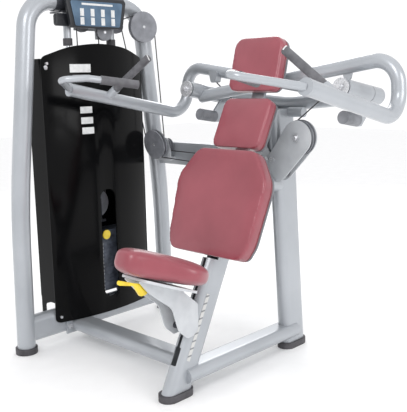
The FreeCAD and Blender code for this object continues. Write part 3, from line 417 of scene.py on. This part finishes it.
def ends_of(node):
    """The middles of a straight bar's two ends, from its own mesh."""
    points = [v.co.copy() for v in NODES[node].data.vertices]
    far = max(points, key=lambda p: (p - points[0]).length)
    axis = (far - points[0]).normalized()
    spots = [p.dot(axis) for p in points]
    low, high = min(spots), max(spots)
    near_end = [p for p, s in zip(points, spots) if s < low + CABLE_RADIUS * 3]
    far_end = [p for p, s in zip(points, spots) if s > high - CABLE_RADIUS * 3]
    return [sum(group, Vector()) / len(group) for group in (near_end, far_end)]


def arm_cable(side):
    """The taut stretch from the big pulley to the arm, as a straight bar between the stand-in's two ends."""
    node = f"arm_cable_{side}"
    start, end = sorted(ends_of(node), key=lambda p: p.z)
    shape = bmesh.new()
    tube_between(shape, start, end, CABLE_RADIUS, 24)
    mesh = bpy.data.meshes.new(node)
    shape.to_mesh(mesh)
    shape.free()
    mesh.materials.append(LOOKS["cable"])
    piece = link_object(f"{node}_shown", mesh)
    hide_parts(node)
    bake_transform(piece)


LEG_TOP = 1.34
LEG_FOOT = 0.59


def cable_legs():
    """Two stretches above the stack pulley."""
    low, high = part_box("stack_cable_legs")
    shape = bmesh.new()
    node = NODES["stack_cable_legs"]
    middle = (low.y + high.y) / 2
    for part in (-1, 1):
        points = [v.co for v in node.data.vertices if (v.co.y - middle) * part > 0]
        foot = [p for p in points if p.z < LEG_FOOT + 0.01]
        top = [p for p in points if p.z > LEG_TOP - 0.01]
        start = sum(foot, Vector()) / len(foot)
        end = sum(top, Vector()) / len(top)
        tube_between(shape, start, end, CABLE_RADIUS, 30)
    piece = finish_piece("stack_cable_legs_shown", shape, "cable", "frame")
    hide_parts("stack_cable_legs")
    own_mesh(piece)


# ---------------------------------------------------------------- upholstery
VOXEL = 0.005
CLOTH_FRAMES = 16
SMOOTH_BEFORE, SMOOTH_AFTER = 5, 3


def applied(piece):
    """The piece's mesh with its modifiers applied."""
    graph = bpy.context.evaluated_depsgraph_get()
    return bpy.data.meshes.new_from_object(piece.evaluated_get(graph))


def swell(piece, pinned, limit):
    """Inflates a taut cover by cloth simulation; no point moves further than limit."""
    rest = [v.co.copy() for v in piece.data.vertices]
    held = piece.vertex_groups.new(name="held")
    held.add(pinned, 1.0, "REPLACE")
    cloth = piece.modifiers.new("Cloth", "CLOTH")
    cloth.settings.quality = 4
    cloth.settings.mass = 0.3
    cloth.settings.tension_stiffness = 60
    cloth.settings.compression_stiffness = 60
    cloth.settings.shear_stiffness = 40
    cloth.settings.bending_stiffness = 30
    cloth.settings.vertex_group_mass = "held"
    cloth.settings.use_pressure = True
    cloth.settings.uniform_pressure_force = 2.0
    cloth.settings.effector_weights.gravity = 0
    for number in range(1, CLOTH_FRAMES + 1):
        scene.frame_set(number)
    mesh = applied(piece)
    piece.modifiers.clear()
    piece.data = mesh
    for vertex, before in zip(mesh.vertices, rest):
        step = vertex.co - before
        if step.length > limit:
            vertex.co = before + step.normalized() * limit
    shape = bmesh.new()
    shape.from_mesh(mesh)
    relax(shape, SMOOTH_AFTER)
    shape.to_mesh(mesh)
    shape.free()
    scene.frame_set(1)


def relax(shape, times):
    """Evens out small bumps."""
    for _ in range(times):
        bmesh.ops.smooth_vert(
            shape, verts=shape.verts, factor=0.5, use_axis_x=True, use_axis_y=True, use_axis_z=True
        )


def fit_to(piece, node):
    """Brings a rounded cover back to the full size of the solid it covers."""
    low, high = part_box(node)
    spots = [v.co for v in piece.data.vertices]
    for axis in range(3):
        start, end = min(p[axis] for p in spots), max(p[axis] for p in spots)
        scale = (high[axis] - low[axis]) / (end - start)
        for spot in spots:
            spot[axis] = low[axis] + (spot[axis] - start) * scale


def cover(piece, node, body):
    """Vinyl, smooth shading, one subdivision and a body for a finished pad."""
    mesh = piece.data
    mesh.polygons.foreach_set("use_smooth", [True] * len(mesh.polygons))
    mesh.materials.clear()
    mesh.materials.append(LOOKS["vinyl"])
    piece.modifiers.new("Subdivision", "SUBSURF").levels = 1
    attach(piece, body)
    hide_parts(node)


def soft_pad(node, body, front, limit):
    """A foam pad under stretched vinyl, made from the pad's own solid."""
    front = Vector(front).normalized()
    piece = link_object(f"{node}_cushion", NODES[node].data.copy())
    remesh = piece.modifiers.new("Remesh", "REMESH")
    remesh.mode = "VOXEL"
    remesh.voxel_size = VOXEL
    mesh = applied(piece)
    piece.modifiers.clear()
    piece.data = mesh
    back = min(v.co.dot(front) for v in mesh.vertices)
    resting = [v.index for v in mesh.vertices if v.co.dot(front) < back + VOXEL * 0.6]
    shape = bmesh.new()
    shape.from_mesh(mesh)
    relax(shape, SMOOTH_BEFORE)
    shape.to_mesh(mesh)
    shape.free()
    swell(piece, resting, limit)
    fit_to(piece, node)
    cover(piece, node, body)


def rim_points(node, front, above):
    """The pad's outline near its back, in order round the pad."""
    front = Vector(front).normalized()
    points = [v.co.copy() for v in NODES[node].data.vertices]
    back = min(p.dot(front) for p in points)
    rim = [p + front * above for p in points if p.dot(front) < back + 0.001]
    middle = sum(rim, Vector()) / len(rim)
    across = Vector((1, 0, 0))
    up = front.cross(across)
    rim.sort(key=lambda p: math.atan2((p - middle).dot(up), (p - middle).dot(across)))
    tidy = [rim[0]]
    for point in rim[1:]:
        if (point - tidy[-1]).length > 0.002:
            tidy.append(point)
    return tidy


def painted_shade_welt(node, body, front):
    """The sewn cord round the back edge of a pad, in a darker copy of the vinyl: painted shade along the
    pad's edge.
    """
    points = rim_points(node, front, 0.006)
    curve = bpy.data.curves.new(f"{node}_welt", "CURVE")
    curve.dimensions = "3D"
    curve.bevel_depth = 0.0024
    curve.bevel_resolution = 3
    line = curve.splines.new("POLY")
    line.points.add(len(points) - 1)
    for target, point in zip(line.points, points):
        target.co = (*point, 1)
    line.use_cyclic_u = True
    curve.materials.append(LOOKS["painted_shade_welt"])
    piece = link_object(f"{node}_welt", curve)
    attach(piece, body)


SEAT_SLOPE = math.radians(20.3)
SEAT_NOSE = Vector((0, -0.245, 0.6104))
SEAT_UP = Vector((0, math.sin(SEAT_SLOPE), math.cos(SEAT_SLOPE)))
SEAT_BACK = Vector((0, math.cos(SEAT_SLOPE), -math.sin(SEAT_SLOPE)))
SEAT_START, SEAT_END = 0.034, 0.350
SEAT_MIDDLE, SEAT_HALF_DEPTH = 0.042, 0.0455
SEAT_SWELL = 0.003


def smooth_step(value):
    value = min(1.0, max(0.0, value))
    return value * value * (3 - 2 * value)


def rounded_end(share, power):
    """1 in the middle of a length, falling to 0 at both ends."""
    return max(0.0, 1 - abs(2 * share - 1) ** power) ** (1 / power)


def squared(value, power):
    return math.copysign(abs(value) ** (2 / power), value)


def seat_cover():
    """A saddle: narrow thick nose, wide thin tail, every edge well rounded."""
    stations, sides = 44, 56
    rows = []
    for station in range(1, stations):
        share = (1 - math.cos(math.pi * station / stations)) / 2
        along = SEAT_START + (SEAT_END - SEAT_START) * share
        half_width = (0.068 + 0.104 * smooth_step((share - 0.08) / 0.6)) * rounded_end(share, 3.2)
        high = SEAT_HALF_DEPTH * rounded_end(share, 4.0)
        low = high * (1.08 - 0.16 * smooth_step((share - 0.1) / 0.8))
        row = []
        for side in range(sides):
            angle = 2 * math.pi * side / sides
            across = half_width * squared(math.cos(angle), 3.0)
            rise = squared(math.sin(angle), 3.0)
            rise *= high if rise > 0 else low
            drop = SEAT_MIDDLE - rise
            row.append(SEAT_NOSE + Vector((across, 0, 0)) + SEAT_BACK * along - SEAT_UP * drop)
        rows.append(row)
    shape = bmesh.new()
    rings = [[shape.verts.new(spot) for spot in row] for row in rows]
    for ring, after in zip(rings, rings[1:]):
        for side in range(sides):
            beside = (side + 1) % sides
            shape.faces.new((ring[side], ring[beside], after[beside], after[side]))
    for ring, flip in ((rings[0], True), (rings[-1], False)):
        tip = shape.verts.new(sum((v.co for v in ring), Vector()) / sides)
        for side in range(sides):
            edge = (ring[side], ring[(side + 1) % sides])
            shape.faces.new((*edge, tip) if not flip else (edge[1], edge[0], tip))
    bmesh.ops.recalc_face_normals(shape, faces=shape.faces)
    mesh = bpy.data.meshes.new("seat_pad_cushion")
    shape.to_mesh(mesh)
    shape.free()
    piece = link_object("seat_pad_cushion", mesh)
    base = SEAT_NOSE - SEAT_UP * (SEAT_MIDDLE + SEAT_HALF_DEPTH * 0.6)
    resting = [v.index for v in mesh.vertices if (v.co - base).dot(SEAT_UP) < 0]
    swell(piece, resting, SEAT_SWELL)
    cover(piece, "seat_pad", "seat")


def make_pads():
    """Each pad's front faces the user; the tilts are the ones the boards have."""
    pads = (("back_pad", 20.2, 0.006), ("neck_pad", 26.7, 0.005), ("head_pad", 15.0, 0.005))
    for node, tilt, limit in pads:
        lean = math.radians(tilt)
        front = (0, -math.cos(lean), math.sin(lean))
        soft_pad(node, "frame", front, limit)
        painted_shade_welt(node, "frame", front)
    seat_cover()


# ---------------------------------------------------------------- details
PLATE_BOLT_X, PLATE_BOLT_Z = 0.131, 0.900
PIVOT_X, PIVOT_Y, PIVOT_Z = 0.378, 0.552, 1.0775
PIVOT_LEAN = math.radians(9.1)


def face_bolts():
    """Bolt heads on the two large link plates and on the ends of the arms' pivots."""
    for word, side, face in (("left", 1, 0.5385), ("right", -1, 0.5455)):
        place = (side * PLATE_BOLT_X, face, PLATE_BOLT_Z)
        bolt(f"plate_bolt_big_{word}", place, (0, -1, 0), 0.010, "frame")
    axle_end = min(v.co.y for v in NODES["pivot_axles"].data.vertices)
    along = (0, -math.cos(PIVOT_LEAN), math.sin(PIVOT_LEAN))
    for side, word in ((1, "left"), (-1, "right")):
        drop = (axle_end - PIVOT_Y) / math.cos(PIVOT_LEAN)
        height = PIVOT_Z - drop * math.sin(PIVOT_LEAN)
        place = Vector((side * PIVOT_X, axle_end - 0.0002, height))
        bolt(f"pivot_bolt_{word}", place, along, 0.008, "frame")


STUDS = 9
STUD_PROFILE = [(0.0028, 0), (0.0028, 0.0006), (0.0012, 0.001)]


def grip_studs():
    """A close cluster of small pale studs at the upper end of each side's grips."""
    for side in ("left", "right"):
        points = [v.co for v in NODES[f"{side}_grips"].data.vertices]
        middle = (min(p.z for p in points) + max(p.z for p in points)) / 2
        upper = [p for p in points if p.z > middle]
        start = max(upper, key=lambda p: p.z)
        far = max(upper, key=lambda p: (p - start).length)
        axis = far - start
        shape = bmesh.new()
        for index in range(STUDS):
            guess = start + axis * ((index + 1) / (STUDS + 2))
            hit, place, normal, _ = NODES[f"{side}_grips"].ray_cast(
                guess + Vector((0.06, -0.10, 0.06)), Vector((-0.06, 0.10, -0.06)).normalized()
            )
            if hit:
                lathe(shape, STUD_PROFILE, facing(place, normal), 10)
        finish_piece(f"{side}_grip_studs", shape, "label", f"{side}_arm")


PLATE_COUNT, LOAD_STEP = 14, 5


def stack_numbers():
    """Generic load numbers down the front of the stack."""
    low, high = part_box("weight_plates")
    pitch = (high.z - low.z) / PLATE_COUNT
    for index in range(PLATE_COUNT):
        letters = bpy.data.curves.new(f"stack_number_{index}", "FONT")
        letters.body = str(LOAD_STEP * (PLATE_COUNT - index))
        letters.size = 0.013
        letters.extrude = 0.0002
        letters.align_x, letters.align_y = "CENTER", "CENTER"
        letters.materials.append(LOOKS["label"])
        piece = link_object(f"stack_number_{index}", letters)
        piece.rotation_euler = (math.radians(90), 0, math.radians(90))
        piece.location = (high.x + 0.0003, (low.y + high.y) / 2 - 0.02, low.z + pitch * (index + 0.5))
        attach(piece, "frame")


def on_shroud(y, z):
    """The point of the shroud's front that faces +X at this place."""
    return NODES["shroud_front_panel"].ray_cast(Vector((1, y, z)), Vector((-1, 0, 0)))[1]


def panel_label(name, y, z, wide, high, look="label"):
    """A thin plate laid on the shroud's curved front, following its bow."""
    steps = 8
    shape = bmesh.new()
    rows = []
    for rise in (-high / 2, high / 2):
        row = []
        for step in range(steps + 1):
            at = y + wide * (step / steps - 0.5)
            place = on_shroud(at, z + rise)
            row.append(shape.verts.new(Vector((place.x + 0.0006, at, z + rise))))
        rows.append(row)
    faces = [
        shape.faces.new((rows[0][step], rows[0][step + 1], rows[1][step + 1], rows[1][step]))
        for step in range(steps)
    ]
    made = bmesh.ops.extrude_face_region(shape, geom=faces)
    for vertex in (v for v in made["geom"] if isinstance(v, bmesh.types.BMVert)):
        vertex.co.x += 0.0004
    finish_piece(name, shape, look, "frame")


def shroud_labels():
    """Plain pale plates on the shroud, and a screw near its top corner."""
    panel_label("label_upper", 0.179, 1.186, 0.098, 0.034)
    panel_label("label_lower", 0.182, 1.148, 0.080, 0.022, "label_grey")
    for index, (y, z) in enumerate(((0.197, 1.012), (0.199, 0.967), (0.202, 0.924))):
        panel_label(f"label_square_{index}", y, z, 0.058, 0.028)
    bolt("shroud_screw", on_shroud(0.030, 1.190), (1, 0, 0), 0.006, "frame")


def placard_marks():
    """Generic pale bars on the placard in place of any print."""
    low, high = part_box("placard_panel")
    middle, front = (low.y + high.y) / 2, high.x
    wide, tall = high.y - low.y, high.z - low.z
    bars = [(0, 0.38, 0.60, 0.08)]
    bars += [(across, rise, 0.07, 0.3) for across in (-0.3, -0.1, 0.1, 0.3) for rise in (0.05, -0.3)]
    for index, (across, rise, share, height) in enumerate(bars):
        shape = bmesh.new()
        place = Vector((front + 0.0004, middle + across * wide, (low.z + high.z) / 2 + rise * tall))
        matrix = Matrix.Translation(place) @ Matrix.Diagonal((0.0008, share * wide, height * tall, 1))
        bmesh.ops.create_cube(shape, size=1, matrix=matrix)
        finish_piece(f"placard_mark_{index}", shape, "label", "frame")


LOOKS = make_materials()
make_camera()
make_studio()
dress_nodes(LOOKS)
arm_cable("left")
arm_cable("right")
cable_legs()
make_pads()
face_bolts()
stack_numbers()
grip_studs()
shroud_labels()
placard_marks()
